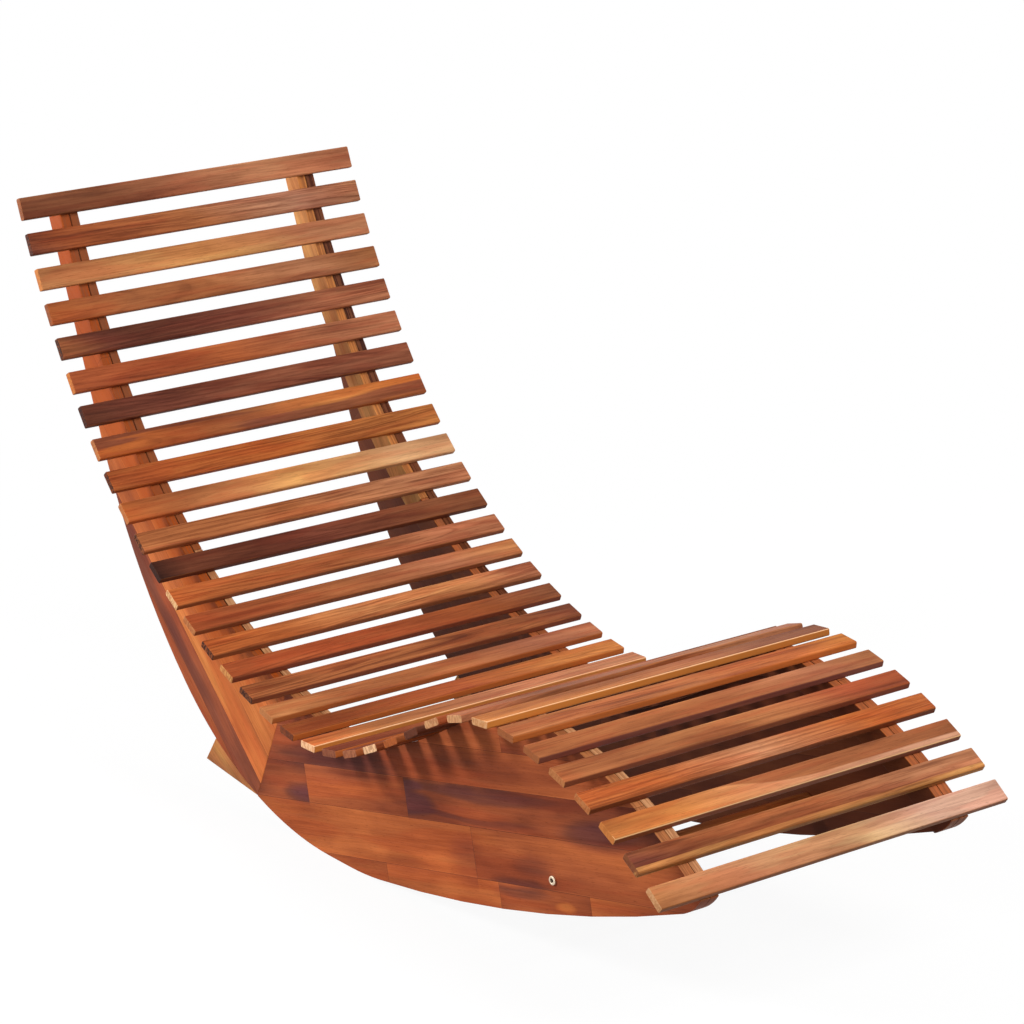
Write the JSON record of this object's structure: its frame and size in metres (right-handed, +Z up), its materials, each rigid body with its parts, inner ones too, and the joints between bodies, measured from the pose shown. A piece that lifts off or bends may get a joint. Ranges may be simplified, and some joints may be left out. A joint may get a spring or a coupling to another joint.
{
  "type": "rocking chaise lounge",
  "caption": "Wooden rocking lounger: slats across two curved side frames whose lower edges are the rockers, with heel stops at the back.",
  "frame": {"origin": "on the floor, under the middle of the whole piece", "axes": "+Z up, +Y towards the head end, +X along the slats to the right as seen from the foot end"},
  "size_m": [0.6, 1.5672, 0.8485],
  "materials": {
    "dark_wood": "oiled, chocolate brown",
    "brown_wood": "oiled, mid brown",
    "red_wood": "oiled, red brown, edge-glued staves on the panels",
    "orange_wood": "oiled, orange brown",
    "warm_wood": "oiled, warm brown",
    "honey_wood": "oiled, honey",
    "tan_wood": "oiled, tan",
    "pale_wood": "oiled, pale gold",
    "bolt_steel": "zinc-plated"
  },
  "bodies": {
    "root": {"slat_01": "brown_wood", "slat_02": "red_wood", "slat_03": "honey_wood", "slat_04": "brown_wood", "slat_05": "dark_wood", "slat_06": "orange_wood", "slat_07": "dark_wood", "slat_08": "warm_wood", "slat_09": "red_wood", "slat_10": "pale_wood", "slat_11": "honey_wood", "slat_12": "dark_wood", "slat_13": "warm_wood", "slat_14": "warm_wood", "slat_15": "honey_wood", "slat_16": "orange_wood", "slat_17": "brown_wood", "slat_18": "warm_wood", "slat_19": "honey_wood", "slat_20": "warm_wood", "slat_21": "orange_wood", "slat_22": "red_wood", "slat_23": "warm_wood", "slat_24": "orange_wood", "slat_25": "brown_wood", "slat_26": "warm_wood", "slat_27": "warm_wood", "slat_28": "brown_wood", "slat_29": "orange_wood", "slat_30": "warm_wood", "slat_31": "red_wood", "slat_32": "honey_wood", "slat_33": "tan_wood", "slat_34": "brown_wood", "slat_35": "pale_wood", "back_panel_left": "red_wood", "back_panel_right": "red_wood", "seat_panel_left": "red_wood", "seat_panel_right": "red_wood", "back_liner_left": "honey_wood", "back_liner_right": "honey_wood", "seat_liner_left": "honey_wood", "seat_liner_right": "honey_wood", "heel_stop_left": "pale_wood", "heel_stop_right": "pale_wood", "cross_rail": "warm_wood", "rail_bolt_left": "bolt_steel", "rail_bolt_right": "bolt_steel"}
  },
  "joints": []
}
